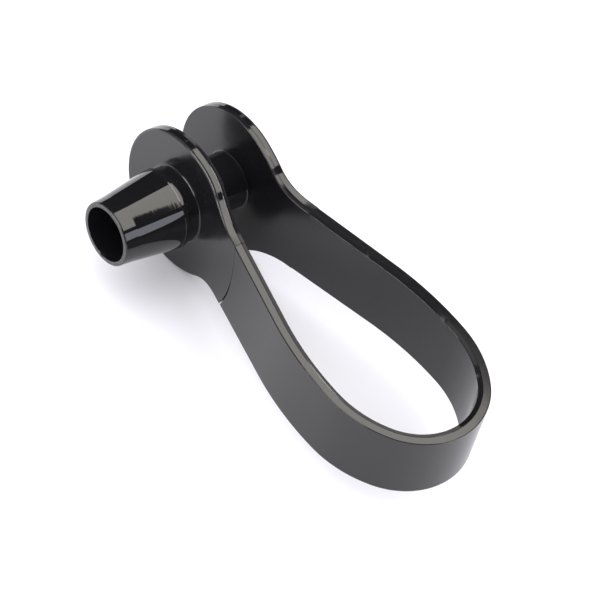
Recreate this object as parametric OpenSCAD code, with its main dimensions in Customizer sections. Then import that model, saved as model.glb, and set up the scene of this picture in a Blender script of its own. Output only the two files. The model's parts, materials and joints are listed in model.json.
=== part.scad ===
// Fence insulator: a moulded strap bent to a teardrop loop, whose two round
// eyes stand face to face. A barrel on the rear eye bridges the gap, and its
// thinner pin plugs through the front eye into a hollow tapered spigot.
//
// Frame: +Y along the axis of the eyes, from the spigot to the rear eye.
// +X from that axis to the closed end of the loop, +Z across the strap.
// The origin is on the axis, midway between the eyes. Millimetres.

/* [Eyes] */
// Outside diameter of each round eye
eye_d = 35; // [33:0.2:37]
// Clear gap between the two eyes
gap = 12.4; // [11:0.2:14]
// Wall thickness of the eyes and of the strap
wall = 2.9; // [2.5:0.1:3.2]
// Radius of the concave neck between an eye's rim and the strap's edge
rim_fillet = 14; // [10:1:16]
// Distance from the axis at which each eye ends and the strap begins
seam_r = 24.3; // [23.5:0.1:26]

/* [Strap] */
// Width the strap would have at the axis of the eyes
strap_w = 20.2; // [19:0.2:21]
// Width of the strap at the closed end of the loop
strap_end_w = 16.7; // [15:0.1:19]
// Angle at which each side of the strap leaves its eye
flare = 14; // [12:1:15]
// Distance from the axis at which the eyes' flat walls start to bend
bend_x = 6.2; // [5:0.2:7]
// Radius of that bend, on the outer face
bend_r = 42; // [38:1:44]
// Length of the straight flank after the bend
flank_l = 27.5; // [24:0.5:30]
// Radius of the long curve after the flank, on the outer face
side_r = 78; // [72:1:82]
// Turn made by the long curve
side_turn = 16; // [14:1:17]
// Radius of the shoulder curve before the closed end, on the outer face
shoulder_r = 27; // [26:0.5:29]
// Turn made by the shoulder curve
shoulder_turn = 33; // [30:1:35]

/* [Spigot] */
// Diameter of the socket in the spigot's mouth
socket_d = 12.8; // [12:0.1:13]
// Depth of that socket
socket_depth = 12.4; // [9:0.2:13]
// Outside diameter of the mouth
mouth_d = 15; // [14.8:0.1:15.6]
// Outside diameter of the straight land at the large end
land_d = 18.9; // [18.7:0.1:19.4]
// Length of the spigot from the collar to the mouth
spigot_l = 16.4; // [15.4:0.2:18]
// Length of the straight land
land_l = 1.3; // [1:0.1:2]
// Radius of the rounded shoulder behind the land
shoulder_round = 0.3; // [0.2:0.1:0.5]

/* [Collar] */
// Outside diameter of the collar
collar_d = 18.5; // [18:0.1:18.6]
// Length of the collar
collar_l = 3; // [2.4:0.1:3.4]

/* [Barrel and pin] */
// Diameter of the barrel across the gap
barrel_d = 13.4; // [13:0.1:14.4]
// Diameter of the pin that plugs into the front eye
pin_d = 11.1; // [10:0.1:11.5]
// Play between the pin and its hole, on the radius
pin_play = 0.05; // [0.02:0.01:0.1]
// Air between the barrel's shoulder and the front eye, and at the pin's end
end_play = 0.3; // [0.2:0.05:0.5]
// Radius of the fillets at the foot of the barrel and of the collar
foot_fillet = 0.5; // [0.3:0.1:0.8]

/* [Hidden] */
$fn = 96;

moulded_black = [0.07, 0.07, 0.075];
eye_r = eye_d / 2;
eye_outer_y = gap / 2 + wall;      // outer face of each eye
collar_end_y = -eye_outer_y - collar_l;
mouth_y = collar_end_y - spigot_l;
socket_floor_y = mouth_y + socket_depth;
pin_r = pin_d / 2;
pin_hole_r = pin_r + pin_play;
pin_end_y = socket_floor_y + end_play;
pin_bevel = 1.2;
mouth_round = 0.4;
over = 1;                          // overrun of cutting shapes

// Plan of one side of the strap, as [x, y] on the +Y side. A curve that turns
// towards the loop is centred inside it, so a point on it at heading h lies at
// h + 90 degrees round its centre.
bend_centre = [bend_x, eye_outer_y + bend_r];
flank_start = bend_centre + bend_r * [sin(flare), -cos(flare)];
flank_end = flank_start + flank_l * [cos(flare), sin(flare)];
side_centre = flank_end + side_r * [sin(flare), -cos(flare)];
side_to = 90 + flare - side_turn;
shoulder_centre = side_centre + (side_r - shoulder_r) * [cos(side_to), sin(side_to)];
shoulder_to = side_to - shoulder_turn;
end_r = shoulder_r + shoulder_centre.y / sin(shoulder_to);
end_centre = shoulder_centre + (shoulder_r - end_r) * [cos(shoulder_to), sin(shoulder_to)];
loop_end_x = end_centre.x + end_r;

// Side view of the strap: its edges close in evenly towards the loop's end.
edge_slope = (strap_w - strap_end_w) / 2 / loop_end_x;
edge_norm = sqrt(1 + edge_slope * edge_slope);
fillet_lift = strap_w / 2 + rim_fillet * edge_norm;
fillet_reach = eye_r + rim_fillet;
fillet_x = (fillet_lift * edge_slope
            + sqrt(pow(edge_norm * fillet_reach, 2) - pow(fillet_lift, 2))) / pow(edge_norm, 2);
fillet_centre = [fillet_x, fillet_lift - edge_slope * fillet_x];
fillet_from = atan2(-fillet_centre.y, -fillet_centre.x);
fillet_to = -90 - atan(edge_slope);
upper_edge = concat(
    arc(fillet_centre, rim_fillet, fillet_from, fillet_to),
    [[loop_end_x + over, strap_end_w / 2]]
);

// Points of an arc; first = 1 leaves out the point that the curve before it ended on.
function arc(centre, r, from, to, steps = 8, first = 0) =
    [for (i = [first:steps]) let (a = from + (to - from) * i / steps) centre + r * [cos(a), sin(a)]];

function reversed(points) = [for (i = [len(points) - 1:-1:0]) points[i]];

// The way back along a mirrored outline; last = 2 leaves out a point on the mirror line.
function mirrored(points, last = 1) =
    [for (i = [len(points) - last:-1:0]) [points[i].x, -points[i].y]];

// A face of the wall, in plan, at a depth below the outer face.
function flank_point(along, depth) =
    flank_start + along * [cos(flare), sin(flare)] + depth * [sin(flare), -cos(flare)];

function eye_face(depth) = concat(
    [[-eye_r, eye_outer_y - depth]],
    arc(bend_centre, bend_r + depth, -90, flare - 90),
    [flank_point(flank_l / 2, depth)]
);

function half_loop_face(depth) = concat(
    [flank_point(0, depth)],
    arc(side_centre, side_r - depth, 90 + flare, side_to, 10),
    arc(shoulder_centre, shoulder_r - depth, side_to, shoulder_to, 10, first = 1),
    arc(end_centre, end_r - depth, shoulder_to, 0, 14, first = 1)
);

function loop_face(depth) = let (half = half_loop_face(depth)) concat(half, mirrored(half, last = 2));

// A solid turned about the axis of the eyes, from a profile of [radius, y].
module turned(profile)
    rotate([-90, 0, 0])
        rotate_extrude()
            polygon(profile);

module axial_cylinder(r, from_y, to_y)
    translate([0, from_y, 0])
        rotate([-90, 0, 0])
            cylinder(r = r, h = to_y - from_y);

// The wall between two faces that are given in plan.
module upright_wall(outer, inner)
    translate([0, 0, -eye_r])
        linear_extrude(height = 2 * eye_r)
            polygon(concat(outer, reversed(inner)));

// Everything inside the side view of the eyes and strap.
module side_view_prism() {
    axial_cylinder(eye_r, -2 * eye_r, 2 * eye_r);
    rotate([90, 0, 0])
        linear_extrude(height = 4 * eye_r, center = true)
            polygon(concat(upper_edge, mirrored(upper_edge)));
}

module eye_blank()
    intersection() {
        side_view_prism();
        upright_wall(eye_face(0), eye_face(wall));
        axial_cylinder(seam_r, 0, 2 * eye_r);
    }

module spigot()
    color(moulded_black)
        turned(concat(
            [[pin_hole_r, collar_end_y], [pin_hole_r, socket_floor_y],
             [socket_d / 2, socket_floor_y], [socket_d / 2, mouth_y]],
            arc([mouth_d / 2 - mouth_round, mouth_y + mouth_round], mouth_round, -90, 0, 4),
            [[land_d / 2, collar_end_y - land_l]],
            arc([land_d / 2 - shoulder_round, collar_end_y - shoulder_round], shoulder_round, 0, 90)
        ));

// The eye's wall already bends under the collar's edge, so the collar's foot is cut to it.
module collar()
    color(moulded_black)
        difference() {
            turned(concat(
                [[pin_hole_r, -eye_outer_y], [pin_hole_r, collar_end_y], [collar_d / 2, collar_end_y]],
                arc([collar_d / 2 + foot_fillet, -eye_outer_y - foot_fillet], foot_fillet, 180, 90)
            ));
            mirror([0, 1, 0]) eye_blank();
        }

module front_eye()
    color(moulded_black)
        difference() {
            mirror([0, 1, 0]) eye_blank();
            axial_cylinder(pin_hole_r, -eye_outer_y - over, -gap / 2 + over);
        }

module barrel()
    color(moulded_black)
        turned(concat(
            [[0, gap / 2], [0, pin_end_y], [pin_r - pin_bevel / 2, pin_end_y],
             [pin_r, pin_end_y + pin_bevel], [pin_r, end_play - gap / 2],
             [barrel_d / 2, end_play - gap / 2]],
            arc([barrel_d / 2 + foot_fillet, gap / 2 - foot_fillet], foot_fillet, 180, 90)
        ));

module rear_eye()
    color(moulded_black)
        eye_blank();

module strap()
    color(moulded_black)
        difference() {
            intersection() {
                side_view_prism();
                upright_wall(loop_face(0), loop_face(wall));
            }
            axial_cylinder(seam_r, -2 * eye_r, 2 * eye_r);
        }

spigot();
collar();
front_eye();
barrel();
rear_eye();
strap();
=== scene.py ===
import json
import math
import random

import bmesh
import bpy
from mathutils import Matrix, Vector


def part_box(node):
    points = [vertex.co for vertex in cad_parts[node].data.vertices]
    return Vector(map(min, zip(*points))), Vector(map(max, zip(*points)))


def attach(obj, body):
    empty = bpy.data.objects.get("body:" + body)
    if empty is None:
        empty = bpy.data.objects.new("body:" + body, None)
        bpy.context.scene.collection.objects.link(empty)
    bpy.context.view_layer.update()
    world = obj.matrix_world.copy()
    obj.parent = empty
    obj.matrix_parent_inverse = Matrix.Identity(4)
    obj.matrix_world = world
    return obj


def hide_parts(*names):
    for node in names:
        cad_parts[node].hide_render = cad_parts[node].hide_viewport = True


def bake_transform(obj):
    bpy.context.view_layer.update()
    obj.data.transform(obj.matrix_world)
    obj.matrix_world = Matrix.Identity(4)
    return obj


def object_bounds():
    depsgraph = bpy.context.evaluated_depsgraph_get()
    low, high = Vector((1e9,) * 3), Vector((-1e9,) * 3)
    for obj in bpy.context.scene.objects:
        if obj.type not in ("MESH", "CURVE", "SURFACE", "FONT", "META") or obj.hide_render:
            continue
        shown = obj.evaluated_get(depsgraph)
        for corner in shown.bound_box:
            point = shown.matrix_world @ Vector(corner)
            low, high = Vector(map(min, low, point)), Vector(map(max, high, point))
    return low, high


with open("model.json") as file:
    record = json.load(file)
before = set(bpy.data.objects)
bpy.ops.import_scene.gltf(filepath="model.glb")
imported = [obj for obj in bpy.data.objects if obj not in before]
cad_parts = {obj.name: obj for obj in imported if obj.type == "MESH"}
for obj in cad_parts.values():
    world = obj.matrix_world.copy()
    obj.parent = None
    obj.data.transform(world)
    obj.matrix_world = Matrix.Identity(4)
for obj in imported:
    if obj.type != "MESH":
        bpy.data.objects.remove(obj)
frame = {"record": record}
cad_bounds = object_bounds()

MM = 0.001


# ---------------------------------------------------------------- sizes, in mm

def box_mm(node):
    """Lowest and highest corner of a CAD node."""
    low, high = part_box(node)
    return low / MM, high / MM


def mount_dims(name):
    """Measured sizes of one of the record's mounts."""
    return next(mount["dims"] for mount in frame["record"]["mounts"] if mount["name"] == name)


FOOT_FILLET = 0.5
EYE_R = box_mm("rear_eye")[1].z
EYE_INNER_Y = box_mm("barrel")[1].y
EYE_OUTER_Y = -box_mm("collar")[1].y
WALL = EYE_OUTER_Y - EYE_INNER_Y
COLLAR_END_Y = box_mm("spigot")[1].y
COLLAR_R = box_mm("collar")[1].x - FOOT_FILLET
MOUTH_Y = box_mm("spigot")[0].y
LAND_R = box_mm("spigot")[1].x
BARREL_R = box_mm("barrel")[1].x - FOOT_FILLET
PIN_END_Y = box_mm("barrel")[0].y
LOOP_END_X = box_mm("strap")[1].x

SOCKET_R = mount_dims("socket")["r_mm"]
SOCKET_FLOOR_Y = MOUTH_Y + mount_dims("socket")["length_mm"]
MOUTH_R = 7.5
MOUTH_ROUND = 0.4
MOUTH_LAND_R = 7.79
MOUTH_LAND_L = 3.5
LAND_L = 1.3
LAND_FALL = 0.07
SHOULDER_ROUND = 0.27
PIN_R = 5.55
PIN_HOLE_R = 5.6
PIN_BEVEL = 1.2
END_PLAY = 0.3

RIM_FILLET = 14.0
SEAM_R = 24.3
STRAP_W = 20.2
STRAP_END_W = 16.7
EDGE_SLOPE = (STRAP_W - STRAP_END_W) / 2 / LOOP_END_X

FLARE = math.radians(14)
BEND_X = 6.2
BEND_R = 42.0
FLANK_L = 27.5
SIDE_R = 78.0
SIDE_TURN = math.radians(16)
SHOULDER_R = 27.0
SHOULDER_TURN = math.radians(33)

# Sizes of the moulding's fine detail
SKIN = 0.005          # how far the strap's outer face stays inside that of the CAD
MERGE = 0.0001        # points closer than this are one
SHARP_ANGLE = math.radians(38)
TURNS = 192           # steps round a turned piece
GUARD = 0.06          # spacing of the extra mesh row beside each rounded corner
GROOVE = 0.07         # depth and half width of the fine lines
SEAM_GAP = 0.42       # widest opening of the seam between an eye and the strap
RIM_ROUND = 0.62      # rounding of an eye's outer edge
STRAP_ROUND = 0.2     # rounding of the strap's outer edge
LEDGE_DEPTH = 1.85    # distance from the outer face to the sloping inner part of an edge
STRAP_LEDGE = 0.3     # fall of that inner part on the strap
EYE_LEDGE = 0.1       # the same on an eye
INNER_ROUND = 0.18    # rounding of the edges of the inner faces
SEAM_ROUND = 0.03     # rounding of the eye's edge at the seam, outside
INNER_SEAM = 0.001    # the same inside
STRAP_STEP = 0.12     # how far the strap's edges lie below those of the eyes
HOLE_LEAD = 0.3       # bevel of the hole in the front eye
NICK_ANGLE = math.radians(-89)
NICK_L = 0.7          # how far the nick reaches into the socket
NICK_AT = 0.2         # distance of its middle from the nick's angle, round the mouth
NICK_W = 0.45         # half width of the nick
NICK_DEPTH = 0.6      # depth of the nick in the mouth's inner edge
BURR_AT = -0.7        # the same three sizes of the burr beside it
BURR_W = 0.35
BURR_H = 0.4
RAGGED_H = 0.03       # unevenness of the sheared inner edge
RAGGED_RISE = 0.02    # unevenness of the sheared face
RAGGED_WAVES = (3, 7, 17, 31)   # waves round the rim that add up to that unevenness
LIP_ROUND = 0.12      # rounding of the mouth's inner edge
FLOOR_ROUND = 0.3     # rounding of the socket's floor
STEP_ROUND = 0.15     # rounding of the pin hole's edge and of the pin's tip
PIN_ROUND = 0.3       # rounding behind the pin's bevel
BARREL_ROUND = 0.2    # rounding of the barrel's shoulder
ROUND_STEPS = 5       # steps round each rounded corner
RIM_STEPS = 72        # points round half an eye's rim
NECK_STEPS = 14       # points along an eye's neck
NECK_TO_SEAM = (0.4, 0.8)   # places of the points between an eye's neck and its seam
SEAM_STEPS = 12       # points along half a seam
SEAM_ROUNDS = 5       # rounds in which the place where a line meets the seam is found
FACE_ROWS = 26        # rings of points across an eye's face
ARC_STEPS = 8         # points in the fillet at the foot of the collar or the barrel
ACROSS = 14           # steps across the strap's faces
EDGE_WEAR = 0.35      # share of wear along an eye's edges
WORN_W = 0.5          # width of that wear, from the faces
STATION = 0.4         # spacing of the strap's sections
WARP_L = 16.0         # end, from the flank's start, of the stretch in which they straighten
WARP_STEPS = 24       # sections in that stretch
LAST_ROWS = (3, 1, 0)       # last rows before the middle of the loop's end, in steps of GUARD
FLASH_W = 0.2         # width of the specks of flash on the strap's inner edges
FLASH_COUNT = 5       # specks on each inner edge of a half
FLASH_L = (0.25, 0.5)     # half lengths of the specks
FLASH_H = (0.01, 0.025)   # heights of the specks
FLASH_BRIGHT = 0.03   # height at which a speck is fully worn in colour
SEAM_OPEN_TOP = 0.25  # share of the seam's gap that stays open in the upper half
SEAM_OPEN_FROM = 2.0  # height below which the gap starts to widen
SEAM_OPEN_L = 7.0     # height over which it does
NECK_X = 24.0         # where the gloss of the eyes starts to fade
SATIN_X = 60.0        # where the strap is fully satin
SATIN_ROUGHNESS = 0.2       # roughness there
SATIN_GRAIN = 0.0012        # extra height of the fine relief of the broad faces
FACE_SATIN = 0.12     # extra roughness of the broad faces of the eyes

# The plastic
BLACK = (0.005, 0.0047, 0.0054, 1)
PALER_BLACK = (0.009, 0.0087, 0.0096, 1)
DUST_COLOUR = (0.1, 0.1, 0.1, 1)
WORN_COLOUR = (0.05, 0.049, 0.048, 1)
DUST_SHARE = 0.2
WORN_ROUGHNESS = 0.32       # extra roughness where it is worn
PLASTIC_IOR = 1.5

# Camera and studio
CAMERA_AIM = (34.5, 0.0, -2.5)
CAMERA_AZIMUTH = 38.26
CAMERA_ELEVATION = 48.06
CAMERA_ROLL = 17.35
CAMERA_DISTANCE = 626.7
CAMERA_LENS = 171.9
CAMERA_SENSOR = 36
CAMERA_REACH = 20     # metres
FLOOR_Z = cad_bounds[0][2] / MM
FLOOR_SIZE = 4.0      # metres, from the middle to the edge
FLOOR_COLOUR = (0.84, 0.84, 0.84, 1)
PALER_FLOOR = (0.87, 0.87, 0.87, 1)
ROOM_COLOUR = (1.62, 1.6, 1.7, 1)
ROOM_DARK = (0.004, 0.004, 0.004, 1)
ROOM_GLOW = (0.5, 0.5, 0.52, 1)
GLOW_FROM = (-0.35, -0.85, 0.4)
GLOW_SPAN = (0.25, 0.95)    # alignment with that direction at which the glow starts and is full
WARM = (1.0, 0.97, 0.9)
FAINT_WARM = (1.0, 0.97, 0.93)
COOL = (0.86, 0.88, 1.0)
WHITE = (1.0, 1.0, 1.0)
OVERHEAD_HEIGHT = 1.5
OVERHEAD_TURN = math.radians(10.8)
OVERHEAD_PANELS = {    # extent in metres along and across the overhead softbox, and radiance
    "overhead": ((-0.432, 1.64), (0.254, 1.19), 4.4),
    "overhead_corner": ((-0.68, -0.432), (0.95, 1.18), 4.4),
    "overhead_spill": ((-0.8, -0.44), (0.05, 0.4), 0.8),
}
WINDOW_PLACE = (1.92, 0.56, 0.6)
BACK_PLACE = (-1.04, 1.54, 0.75)
FRONT_PLACE = (-0.1, -1.1, 0.6)
FILL_PLACE = (-0.6, -0.5, 1.6)


# ---------------------------------------------------------------- plan of the strap

def walk(segments, distance):
    """Point and heading at a distance along segments of (length, curvature)."""
    x, y, heading = BEND_X, EYE_OUTER_Y, 0.0
    for length, curvature in segments:
        step = min(distance, length)
        turn = step * curvature
        if curvature:
            x += (math.sin(heading + turn) - math.sin(heading)) / curvature
            y -= (math.cos(heading + turn) - math.cos(heading)) / curvature
        else:
            x += step * math.cos(heading)
            y += step * math.sin(heading)
        heading += turn
        distance -= step
        if distance <= 0:
            break
    return x, y, heading


def strap_plan():
    """Segments of the outer face from the eye to the loop's end, on the +Y side."""
    segments = [
        (BEND_R * FLARE, 1 / BEND_R),
        (FLANK_L, 0.0),
        (SIDE_R * SIDE_TURN, -1 / SIDE_R),
        (SHOULDER_R * SHOULDER_TURN, -1 / SHOULDER_R),
    ]
    _, y, heading = walk(segments, sum(length for length, _ in segments))
    end_r = y / math.cos(heading)
    segments.append((end_r * (heading + math.pi / 2), -1 / end_r))
    return segments


PLAN = strap_plan()
PLAN_L = sum(length for length, _ in PLAN)
FLANK_START = PLAN[0][0]


def plan_point(distance, depth):
    """A point of the wall in plan, at a depth below its outer face."""
    x, y, heading = walk(PLAN, distance)
    return x + depth * math.sin(heading), y - depth * math.cos(heading)


def eye_wall_y(x, depth):
    """Distance of the eye's wall from the plane between the eyes, at a depth below its outer face."""
    if x <= BEND_X:
        return EYE_OUTER_Y - depth
    radius = BEND_R + depth
    reach = x - BEND_X
    if reach < radius * math.sin(FLARE):
        return EYE_OUTER_Y + BEND_R - math.sqrt(radius**2 - reach**2)
    past = reach - radius * math.sin(FLARE)
    return EYE_OUTER_Y + BEND_R - radius * math.cos(FLARE) + past * math.tan(FLARE)


def half_width(x):
    """Half the strap's width, from its middle to its edge."""
    return STRAP_W / 2 - EDGE_SLOPE * x


# ---------------------------------------------------------------- meshes

def make_piece(name, points, faces, body, node, material, wear=None, satin=None):
    """A smooth mesh from points in mm, riding on a body in place of a CAD node.

    Wear and satin hold a share for each point: how worn it is, and how satin its finish.
    """
    mesh = bpy.data.meshes.new(name)
    mesh.from_pydata([Vector(p) * MM for p in points], [], faces)
    for label, shares in (("wear", wear), ("satin", satin)):
        attribute = mesh.attributes.new(label, "FLOAT", "POINT")
        attribute.data.foreach_set("value", shares or [0.0] * len(points))
    bm = bmesh.new()
    bm.from_mesh(mesh)
    bmesh.ops.remove_doubles(bm, verts=bm.verts, dist=MERGE * MM)
    bmesh.ops.recalc_face_normals(bm, faces=bm.faces)
    for face in bm.faces:
        face.smooth = True
    for edge in bm.edges:
        edge.smooth = edge.calc_face_angle(0) < SHARP_ANGLE
    bm.to_mesh(mesh)
    bm.free()
    mesh.materials.append(material)
    piece = bpy.data.objects.new(name, mesh)
    bpy.context.scene.collection.objects.link(piece)
    if body:
        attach(piece, body)
    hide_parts(node)
    return piece


def grid_faces(rows, columns, wrap_rows, wrap_columns):
    """Quads between the points of a grid stored row by row."""
    faces = []
    for i in range(rows if wrap_rows else rows - 1):
        for j in range(columns if wrap_columns else columns - 1):
            k = (i + 1) % rows
            m = (j + 1) % columns
            faces.append((i * columns + j, i * columns + m, k * columns + m, k * columns + j))
    return faces


def arc(centre, radius, start, end, steps):
    """Points of an arc between two angles."""
    return [
        (centre[0] + radius * math.cos(start + (end - start) * i / steps),
         centre[1] + radius * math.sin(start + (end - start) * i / steps))
        for i in range(steps + 1)
    ]


def rounded(corners):
    """An outline with a guard point on each side of every corner (a, b, radius).

    A corner with a radius becomes an arc. A guard point lies GUARD away, or a quarter of
    the side's length if that is less.
    """
    outline = []
    count = len(corners)
    for i in range(count):
        here = Vector(corners[i][:2])
        radius = corners[i][2]
        to_last = Vector(corners[i - 1][:2]) - here
        to_next = Vector(corners[(i + 1) % count][:2]) - here
        back = to_last.normalized()
        ahead = to_next.normalized()
        half = back.angle(ahead) / 2
        reach = radius / math.tan(half) if radius else 0.0
        outline.append(tuple(here + back * (reach + min(GUARD, to_last.length / 4))))
        if radius:
            centre = here + (back + ahead).normalized() * (radius / math.sin(half))
            start = here + back * reach - centre
            turn = start.angle_signed(here + ahead * reach - centre)
            for k in range(ROUND_STEPS + 1):
                outline.append(tuple(centre + Matrix.Rotation(-turn * k / ROUND_STEPS, 2) @ start))
        else:
            outline.append(tuple(here))
        outline.append(tuple(here + ahead * (reach + min(GUARD, to_next.length / 4))))
    return outline


def turned_piece(name, profile, body, node, material, shape=None, wear=None):
    """A profile of (radius, y) turned about the axis of the eyes.

    Shape may move its points, and wear gives the share of wear at a y.
    """
    points = []
    worn = []
    for number in range(TURNS):
        angle = 2 * math.pi * number / TURNS
        for radius, y in profile:
            worn.append(wear(y) if wear else 0.0)
            if shape:
                radius, y = shape(radius, y, angle)
            points.append((radius * math.cos(angle), y, radius * math.sin(angle)))
    faces = grid_faces(TURNS, len(profile), True, profile[0][0] > 0)
    return make_piece(name, points, faces, body, node, material, worn)


def section_rows(outer_round, fall, inner_round, groove):
    """An edge of the wall as (inset, depth), from its outer face over the edge to its inner face.

    The first and the last corner only give the faces their direction, so their points are left out.
    """
    inside = 2.0
    corners = [
        (inside, 0, 0),
        (0, 0, outer_round),
        (0, LEDGE_DEPTH - GROOVE, 0),
        (groove, LEDGE_DEPTH, 0),
        (0, LEDGE_DEPTH + GROOVE, 0),
        (fall, WALL, inner_round),
        (inside, WALL, 0),
    ]
    return rounded(corners)[3:-3]


def mix(a, b, share):
    """The value that lies a share of the way from a to b."""
    return a + (b - a) * share


def bell(position, middle, width, height):
    """Height of a smooth bump at a position."""
    return height * math.exp(-(((position - middle) / width) ** 2))


# ---------------------------------------------------------------- materials

def new_node(tree, kind, **settings):
    """A shader node with some of its properties set."""
    node = tree.nodes.new("ShaderNode" + kind)
    for name, value in settings.items():
        setattr(node, name, value)
    return node


def noise(tree, scale, detail, roughness=0.5, stretch=(1, 1, 1)):
    """Noise in the part's own coordinates, with scale in features per metre."""
    coordinates = new_node(tree, "TexCoord")
    mapping = new_node(tree, "Mapping")
    mapping.inputs["Scale"].default_value = stretch
    texture = new_node(tree, "TexNoise")
    texture.inputs["Scale"].default_value = scale
    texture.inputs["Detail"].default_value = detail
    texture.inputs["Roughness"].default_value = roughness
    tree.links.new(coordinates.outputs["Object"], mapping.inputs["Vector"])
    tree.links.new(mapping.outputs["Vector"], texture.inputs["Vector"])
    return texture.outputs["Fac"]


def remap(tree, source, span, target):
    """The source with one range of values turned into another."""
    node = new_node(tree, "MapRange")
    for name, value in zip(("From Min", "From Max", "To Min", "To Max"), (*span, *target)):
        node.inputs[name].default_value = value
    tree.links.new(source, node.inputs["Value"])
    return node.outputs["Result"]


def combine(tree, operation, a, b):
    """Two values through a math node."""
    node = new_node(tree, "Math", operation=operation)
    for socket, value in zip(node.inputs, (a, b)):
        if isinstance(value, float):
            socket.default_value = value
        else:
            tree.links.new(value, socket)
    return node.outputs["Value"]


def blend_colours(tree, share, a, b):
    """A colour between two others; each is a colour or another node's output."""
    node = new_node(tree, "Mix", data_type="RGBA")
    tree.links.new(share, node.inputs["Factor"])
    for name, value in (("A", a), ("B", b)):
        socket = next(s for s in node.inputs if s.name == name and s.type == "RGBA")
        if isinstance(value, tuple):
            socket.default_value = value
        else:
            tree.links.new(value, socket)
    return next(s for s in node.outputs if s.type == "RGBA")


def moulded_plastic(name, gloss, grain, flow, rings):
    """Black moulded plastic: gloss is its roughness, which rises on the broad faces.

    Grain, flow and rings are the heights in mm of its fine relief, of its slow waviness
    and of the tool marks round it.
    """
    material = bpy.data.materials.new(name)
    material.use_nodes = True
    tree = material.node_tree
    shader = tree.nodes["Principled BSDF"]
    shader.inputs["IOR"].default_value = PLASTIC_IOR

    wear = new_node(tree, "Attribute", attribute_name="wear").outputs["Fac"]
    patches = noise(tree, scale=90, detail=4)
    fine = noise(tree, scale=2600, detail=3, roughness=0.6)
    streaks = noise(tree, scale=420, detail=5, roughness=0.65, stretch=(1, 1, 7))
    waves = noise(tree, scale=260, detail=2)
    tool_marks = noise(tree, scale=1500, detail=1, stretch=(0, 1, 0))
    specks = remap(tree, noise(tree, scale=1500, detail=2), (0.71, 0.76), (0.0, 1.0))
    worn = combine(tree, "MULTIPLY", wear, remap(tree, fine, (0.35, 0.65), (0.35, 1.0)))

    black = blend_colours(tree, patches, BLACK, PALER_BLACK)
    dusty = blend_colours(tree, combine(tree, "MULTIPLY", specks, DUST_SHARE), black, DUST_COLOUR)
    colour = blend_colours(tree, worn, dusty, WORN_COLOUR)
    tree.links.new(colour, shader.inputs["Base Color"])

    place = new_node(tree, "SeparateXYZ")
    tree.links.new(new_node(tree, "TexCoord").outputs["Object"], place.inputs["Vector"])
    along = remap(tree, place.outputs["X"], (NECK_X * MM, SATIN_X * MM),
                  (FACE_SATIN, SATIN_ROUGHNESS - gloss))
    satin = new_node(tree, "Attribute", attribute_name="satin").outputs["Fac"]
    along = combine(tree, "ADD", combine(tree, "MULTIPLY", along, satin), gloss)
    uneven = remap(tree, patches, (0.3, 0.7), (0.85, 1.15))
    scuffs = remap(tree, streaks, (0.55, 0.75), (0.0, 0.03))
    base = combine(tree, "ADD", combine(tree, "MULTIPLY", along, uneven), scuffs)
    rough = combine(tree, "ADD", base, combine(tree, "MULTIPLY", worn, WORN_ROUGHNESS))
    tree.links.new(rough, shader.inputs["Roughness"])

    grit = combine(tree, "ADD", combine(tree, "MULTIPLY", satin, SATIN_GRAIN * MM), grain * MM)
    relief = combine(
        tree, "ADD",
        combine(tree, "MULTIPLY", fine, grit),
        combine(tree, "MULTIPLY", waves, flow * MM),
    )
    relief = combine(tree, "ADD", relief, combine(tree, "MULTIPLY", tool_marks, rings * MM))
    bump = new_node(tree, "Bump")
    bump.inputs["Distance"].default_value = 1.0
    bump.inputs["Strength"].default_value = 1.0
    tree.links.new(relief, bump.inputs["Height"])
    tree.links.new(bump.outputs["Normal"], shader.inputs["Normal"])
    return material


TURNED = moulded_plastic("turned_black", gloss=0.035, grain=0.00004, flow=0.001, rings=0.003)
MOULDED = moulded_plastic("moulded_black", gloss=0.07, grain=0.00015, flow=0.002, rings=0.0)


# ---------------------------------------------------------------- turned pieces

def spigot():
    """The hollow cone: a slimmer mouth, a fine line before its land, and a sheared rim."""
    land_y = COLLAR_END_Y - LAND_L
    land_start_r = LAND_R - LAND_FALL
    profile = rounded([
        (PIN_HOLE_R, COLLAR_END_Y, 0),
        (PIN_HOLE_R, SOCKET_FLOOR_Y, STEP_ROUND),
        (SOCKET_R, SOCKET_FLOOR_Y, FLOOR_ROUND),
        (SOCKET_R, MOUTH_Y + NICK_L, 0),
        (SOCKET_R, MOUTH_Y, LIP_ROUND),
        (MOUTH_R, MOUTH_Y, MOUTH_ROUND),
        (MOUTH_LAND_R, MOUTH_Y + MOUTH_LAND_L, 0),
        (land_start_r, land_y - GROOVE, 0),
        (land_start_r - GROOVE, land_y, 0),
        (land_start_r, land_y + GROOVE, 0),
        (LAND_R, COLLAR_END_Y, SHOULDER_ROUND),
    ])

    def wear(y):
        return 1.0 if y < MOUTH_Y + LIP_ROUND else 0.0

    def shape(radius, y, angle):
        """A nick in the rim's inner edge, low on the mouth, and a slightly uneven sheared rim."""
        near_rim = max(0.0, 1 - (y - MOUTH_Y) / NICK_L)
        away = math.remainder(angle - NICK_ANGLE, 2 * math.pi) * SOCKET_R
        nick = bell(away, NICK_AT, NICK_W, NICK_DEPTH) - bell(away, BURR_AT, BURR_W, BURR_H)
        ragged = sum(math.sin(k * angle + k * k) for k in RAGGED_WAVES) / len(RAGGED_WAVES)
        if radius < (SOCKET_R + MOUTH_R) / 2:
            radius += near_rim * (nick - RAGGED_H * ragged)
        if near_rim == 1:
            y += RAGGED_RISE * (1 + ragged)
        return radius, y

    return turned_piece("spigot_moulding", profile, "body", "spigot", TURNED, shape, wear)


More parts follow.
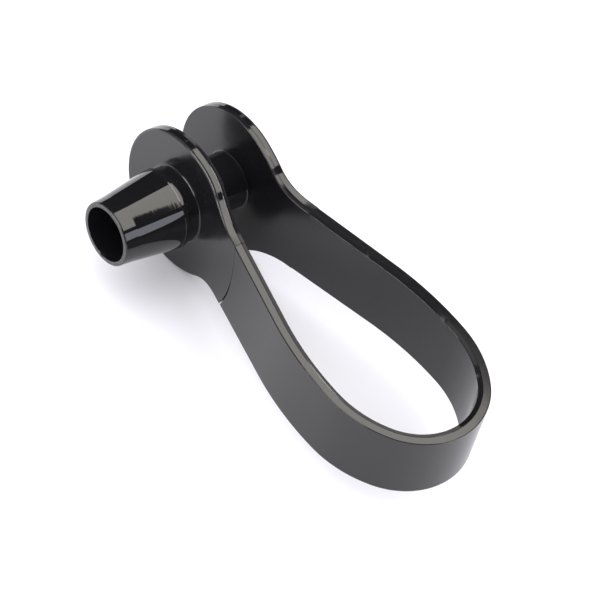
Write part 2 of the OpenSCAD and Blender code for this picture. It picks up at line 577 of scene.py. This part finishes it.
def collar():
    """The plain neck between the eye and the cone, whose foot follows the bending wall."""
    profile = [(PIN_HOLE_R, -EYE_OUTER_Y), (PIN_HOLE_R, COLLAR_END_Y), (COLLAR_R, COLLAR_END_Y)]
    centre = (COLLAR_R + FOOT_FILLET, -EYE_OUTER_Y - FOOT_FILLET)
    profile.append((COLLAR_R, centre[1] - GUARD))
    profile += arc(centre, FOOT_FILLET, math.pi, math.pi / 2, ARC_STEPS)

    def shape(radius, y, angle):
        """The foot moved with the eye's outer face, less and less away from it."""
        share = max(0.0, 1 - (-EYE_OUTER_Y - y) / FOOT_FILLET)
        return radius, y - share * (eye_wall_y(radius * math.cos(angle), 0) - EYE_OUTER_Y)

    return turned_piece("collar_moulding", profile, "body", "collar", TURNED, shape)


def barrel():
    """The barrel across the gap, with the bevelled pin that plugs into the front eye."""
    shoulder_y = END_PLAY - EYE_INNER_Y
    closed = rounded([
        (0, EYE_INNER_Y, 0),
        (0, PIN_END_Y, 0),
        (PIN_R - PIN_BEVEL / 2, PIN_END_Y, STEP_ROUND),
        (PIN_R, PIN_END_Y + PIN_BEVEL, PIN_ROUND),
        (PIN_R, shoulder_y, 0),
        (BARREL_R, shoulder_y, BARREL_ROUND),
        (BARREL_R, EYE_INNER_Y, 0),
    ])
    profile = closed[1:-1]
    centre = (BARREL_R + FOOT_FILLET, EYE_INNER_Y - FOOT_FILLET)
    profile.append((BARREL_R, centre[1] - GUARD))
    profile += arc(centre, FOOT_FILLET, math.pi, math.pi / 2, ARC_STEPS)
    profile.append((0, EYE_INNER_Y))
    return turned_piece("barrel_and_pin", profile, "rear", "barrel", MOULDED)


# ---------------------------------------------------------------- eyes

def eye_outline():
    """Half the outline of an eye, from its back to the seam: (x, z, normals, neck).

    Neck goes from 0 on the round rim to 1 on the strap's edge. A normal comes with
    the kind of edge it belongs to, and the corner at the seam has two of them.
    """
    norm = math.sqrt(1 + EDGE_SLOPE**2)
    lift = STRAP_W / 2 + RIM_FILLET * norm
    reach = EYE_R + RIM_FILLET
    fillet_x = (lift * EDGE_SLOPE + math.sqrt((norm * reach) ** 2 - lift**2)) / norm**2
    fillet = Vector((fillet_x, lift - EDGE_SLOPE * fillet_x))
    start = math.atan2(fillet.y, fillet.x)
    edge_normal = Vector((EDGE_SLOPE, 1)).normalized()
    outline = []

    for point in arc((0, 0), EYE_R, math.pi, start, RIM_STEPS)[:-1]:
        outline.append((*point, [(Vector(point) / EYE_R, "rim")], 0.0))
    bend = arc(fillet, RIM_FILLET, start + math.pi, 1.5 * math.pi - math.atan(EDGE_SLOPE), NECK_STEPS)
    for k, point in enumerate(bend):
        outline.append((*point, [((fillet - Vector(point)) / RIM_FILLET, "rim")], k / (len(bend) - 1)))
    corner_x = math.sqrt(SEAM_R**2 - half_width(SEAM_R) ** 2)
    corner_x = math.sqrt(SEAM_R**2 - half_width(corner_x) ** 2)
    for share in NECK_TO_SEAM:
        x = mix(bend[-1][0], corner_x, share)
        outline.append((x, half_width(x), [(edge_normal, "rim")], 1.0))
    corner = Vector((corner_x, half_width(corner_x)))
    outline.append((*corner, [(edge_normal, "rim"), (corner.normalized(), "seam")], 1.0))
    for point in arc((0, 0), SEAM_R, math.atan2(corner.y, corner.x), 0, SEAM_STEPS)[1:]:
        outline.append((*point, [(Vector(point) / SEAM_R, "seam")], 1.0))
    return outline


def moved_in(x, z, normals, insets):
    """A point moved inwards by an inset from each of its normals."""
    if len(normals) == 1:
        return Vector((x, z)) - normals[0] * insets[0]
    a, b = normals
    area = a.x * b.y - a.y * b.x
    shift = Vector((insets[0] * b.y - insets[1] * a.y, insets[1] * a.x - insets[0] * b.x)) / area
    return Vector((x, z)) - shift


def eye(name, side, body, node, hole):
    """A round eye whose wall starts to bend towards the strap.

    Side is -1 in front and 1 behind, and hole is the radius of its hole, or 0.
    """
    half = eye_outline()
    lower = [(x, -z, [(Vector((n.x, -n.y)), kind) for n, kind in normals], neck)
             for x, z, normals, neck in half[-2:0:-1]]
    outline = half + lower
    points = []
    wear = []
    satin = []
    for x, z, edges, neck in outline:
        profiles = {
            "rim": section_rows(mix(RIM_ROUND, STRAP_ROUND, neck), mix(EYE_LEDGE, STRAP_LEDGE, neck),
                                INNER_ROUND, GROOVE),
            "seam": section_rows(SEAM_ROUND, 0, INNER_SEAM, 0),
        }
        rows = [profiles[kind] for _, kind in edges]
        normals = [normal for normal, _ in edges]
        rim = []
        for k in range(len(rows[0])):
            place = moved_in(x, z, normals, [profile[k][0] for profile in rows])
            rim.append((place, rows[0][k][1]))
        angle = math.atan2(z, x)
        centre = Vector((math.cos(angle), math.sin(angle))) * hole
        outer = [(centre.lerp(rim[0][0], k / FACE_ROWS), 0) for k in range(FACE_ROWS)]
        inner = [(centre.lerp(rim[-1][0], 1 - k / FACE_ROWS), WALL) for k in range(1, FACE_ROWS + 1)]
        if hole:
            lead = centre * (1 + HOLE_LEAD / hole)
            inner[-1] = (lead, WALL)
            inner.append((centre, WALL - HOLE_LEAD))
        column = outer + rim + inner
        for k, (place, depth) in enumerate(column):
            y = eye_wall_y(place.x, depth)
            points.append((place.x, side * y, place.y))
            on_edge = FACE_ROWS < k < FACE_ROWS + len(rim) - 1 and edges[0][1] == "rim"
            at_corner = min(depth, WALL - depth) < WORN_W and on_edge
            wear.append(EDGE_WEAR if at_corner else 0.0)
            satin.append(0.0 if on_edge else 1.0)
    faces = grid_faces(len(outline), len(column), True, bool(hole))
    return make_piece(name, points, faces, body, node, MOULDED, wear, satin)


# ---------------------------------------------------------------- strap

def edge_bumps(seed):
    """Small specks of flash along an edge, as (distance, half length, height) in mm."""
    draw = random.Random(seed)
    return [
        (draw.uniform(FLANK_START + WARP_L, PLAN_L), draw.uniform(*FLASH_L), draw.uniform(*FLASH_H))
        for _ in range(FLASH_COUNT)
    ]


def bump_height(bumps, distance):
    """Height of an edge's specks at a distance along it."""
    return sum(bell(distance, at, length, height) for at, length, height in bumps)


def strap_section():
    """The strap's section as (depth, side, inset, edge), and how many points are on a face and an edge.

    Side goes from -1 at the bottom to 1 at the top. Edge is -1 or 1 on the edges and 0 on the faces.
    """
    edge_rows = section_rows(STRAP_ROUND, STRAP_LEDGE, INNER_ROUND, GROOVE)
    sides = [-1 + 2 * k / ACROSS for k in range(1, ACROSS)]
    section = [(0, side, edge_rows[0][0], 0) for side in sides]
    section += [(depth, 1, inset, 1) for inset, depth in edge_rows]
    section += [(WALL, side, edge_rows[-1][0], 0) for side in reversed(sides)]
    section += [(depth, -1, inset, -1) for inset, depth in reversed(edge_rows)]
    return section, len(sides), len(edge_rows)


def seam_gap(z, depth):
    """Opening of the seam: widest low on the outer face, narrow above, closed on the inner face."""
    low = min(1.0, max(0.0, (SEAM_OPEN_FROM - z) / SEAM_OPEN_L))
    return SEAM_GAP * mix(SEAM_OPEN_TOP, 1.0, low) * (1 - depth / WALL)


def seam_distance(depth, side, inset):
    """Distance along the plan at which a line of the strap meets the seam."""
    x = SEAM_R
    for _ in range(SEAM_ROUNDS):
        x = math.sqrt(SEAM_R**2 - (side * (half_width(x) - inset)) ** 2)
    return FLANK_START + (x - plan_point(FLANK_START, depth)[0]) / math.cos(FLARE)


def strap_half(name, side, body, seed):
    """The strap from one eye to the middle of the loop's end; side is -1 in front and 1 behind."""
    section, across, edge_count = strap_section()
    bumps = {edge: edge_bumps(seed + edge) for edge in (-1, 1)}
    straight_from = FLANK_START + WARP_L
    count = round((PLAN_L - straight_from) / STATION)
    straight = [mix(straight_from, PLAN_L, k / count) for k in range(count)]
    straight += [PLAN_L - GUARD * k for k in LAST_ROWS]
    warped = [0.0, GUARD / WARP_L] + [k / WARP_STEPS for k in range(1, WARP_STEPS)]
    stations = [(share, straight_from) for share in warped] + [(1.0, distance) for distance in straight]
    points = []
    wear = []
    satin = []
    for share, distance in stations:
        for depth, height, inset, edge in section:
            seam = seam_distance(depth, height, inset) + seam_gap(height * STRAP_W / 2, depth)
            at = mix(seam, distance, share)
            corner = edge and WALL - depth < FLASH_W
            bump = bump_height(bumps[edge], at) if corner else 0.0
            x, y = plan_point(at, max(depth, SKIN))
            z = height * (half_width(x) - STRAP_STEP - inset + bump)
            points.append((x, side * y, z))
            wear.append(min(1.0, bump / FLASH_BRIGHT) if corner else 0.0)
            satin.append(0.0 if edge else 1.0)
    faces = grid_faces(len(stations), len(section), False, True)
    for ring in (0, len(stations) - 1):
        base = ring * len(section)
        top = across + edge_count
        for k in range(across - 1):
            mirror = top + across - 1 - k
            faces.append((base + k, base + k + 1, base + mirror - 1, base + mirror))
        faces.append([base + k for k in range(across - 1, top + 1)])
        faces.append([base + k % len(section) for k in range(top + across - 1, len(section) + 1)])
    return make_piece(name, points, faces, body, "strap", MOULDED, wear, satin)


# ---------------------------------------------------------------- studio

def add_camera():
    """The camera at the photograph's viewing angle."""
    azimuth = math.radians(CAMERA_AZIMUTH)
    elevation = math.radians(CAMERA_ELEVATION)
    roll = math.radians(CAMERA_ROLL)
    level = Vector((math.cos(azimuth), math.sin(azimuth), 0))
    back = Vector((math.sin(azimuth) * math.cos(elevation), -math.cos(azimuth) * math.cos(elevation),
                   math.sin(elevation)))
    rise = back.cross(level)
    right = level * math.cos(roll) + rise * math.sin(roll)
    up = back.cross(right)
    data = bpy.data.cameras.new("camera")
    data.lens = CAMERA_LENS
    data.sensor_width = CAMERA_SENSOR
    data.clip_end = CAMERA_REACH
    camera = bpy.data.objects.new("camera", data)
    turn = Matrix((right, up, back)).transposed().to_4x4()
    place = (Vector(CAMERA_AIM) + back * CAMERA_DISTANCE) * MM
    camera.matrix_world = Matrix.Translation(place) @ turn
    bpy.context.scene.collection.objects.link(camera)
    bpy.context.scene.camera = camera


def add_softbox(name, place, turn, size, colour, radiance, mirrored=True, lighting=True):
    """A rectangular area light in metres, with its brightness as radiance.

    Mirrored says that glossy surfaces show it, and lighting that it lights matt ones.
    """
    data = bpy.data.lights.new(name, "AREA")
    data.shape = "RECTANGLE"
    data.size, data.size_y = size
    data.color = colour
    data.energy = radiance * math.pi * size[0] * size[1]
    light = bpy.data.objects.new(name, data)
    light.matrix_world = Matrix.Translation(place) @ turn.to_4x4()
    light.visible_glossy = mirrored
    light.visible_diffuse = lighting
    light.visible_camera = False
    bpy.context.scene.collection.objects.link(light)


def facing(place):
    """Rotation of a light at a place that makes it face the origin."""
    return Vector(place).to_track_quat("Z", "Y").to_matrix()


def add_overhead():
    """The warm softbox overhead, in panels that lie flat and are turned together."""
    turn = Matrix.Rotation(OVERHEAD_TURN, 3, "Z")
    for name, ((left, right), (front, back), radiance) in OVERHEAD_PANELS.items():
        middle = turn @ Vector(((left + right) / 2, (front + back) / 2, OVERHEAD_HEIGHT))
        add_softbox(name, middle, turn, (right - left, back - front), WARM, radiance, lighting=False)


def add_world():
    """A pale room, whose reflections are dark but for a soft glow from the front left."""
    world = bpy.data.worlds.new("studio")
    world.use_nodes = True
    tree = world.node_tree
    path = new_node(tree, "LightPath")
    towards = new_node(tree, "VectorMath", operation="DOT_PRODUCT")
    towards.inputs[1].default_value = GLOW_FROM
    tree.links.new(new_node(tree, "TexCoord").outputs["Generated"], towards.inputs[0])
    glow = remap(tree, towards.outputs["Value"], GLOW_SPAN, (0.0, 1.0))
    reflected = blend_colours(tree, glow, ROOM_DARK, ROOM_GLOW)
    colour = blend_colours(tree, path.outputs["Is Glossy Ray"], ROOM_COLOUR, reflected)
    tree.links.new(colour, tree.nodes["Background"].inputs["Color"])
    bpy.context.scene.world = world


def add_floor():
    """A plain pale floor under the lowest point of the part."""
    material = bpy.data.materials.new("floor")
    material.use_nodes = True
    tree = material.node_tree
    shader = tree.nodes["Principled BSDF"]
    shader.inputs["Roughness"].default_value = 0.9
    tint = blend_colours(tree, noise(tree, scale=8, detail=2), FLOOR_COLOUR, PALER_FLOOR)
    tree.links.new(tint, shader.inputs["Base Color"])
    mesh = bpy.data.meshes.new("floor")
    bm = bmesh.new()
    bmesh.ops.create_grid(bm, x_segments=8, y_segments=8, size=FLOOR_SIZE)
    bm.to_mesh(mesh)
    bm.free()
    mesh.materials.append(material)
    floor = bpy.data.objects.new("floor", mesh)
    floor.location.z = FLOOR_Z * MM
    bpy.context.scene.collection.objects.link(floor)


add_camera()
add_world()
add_floor()
add_overhead()
add_softbox("window", WINDOW_PLACE, facing(WINDOW_PLACE), size=(0.7, 1.1), colour=COOL,
            radiance=3.6, lighting=False)
add_softbox("front", FRONT_PLACE, facing(FRONT_PLACE), size=(1.0, 0.25), colour=WHITE,
            radiance=18.0, lighting=False)
add_softbox("back", BACK_PLACE, facing(BACK_PLACE), size=(1.1, 1.0), colour=FAINT_WARM,
            radiance=1.2, lighting=False)
add_softbox("fill", FILL_PLACE, facing(FILL_PLACE), size=(1.6, 1.6), colour=WHITE,
            radiance=1.0, mirrored=False)
bpy.context.scene.view_settings.view_transform = "Standard"

spigot()
collar()
barrel()
eye("front_eye_moulding", -1, "body", "front_eye", hole=PIN_HOLE_R)
eye("rear_eye_moulding", 1, "rear", "rear_eye", hole=0)
strap_half("strap_front_half", -1, "body", seed=11)
rear_half = strap_half("strap_rear_half", 1, None, seed=23)
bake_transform(rear_half)
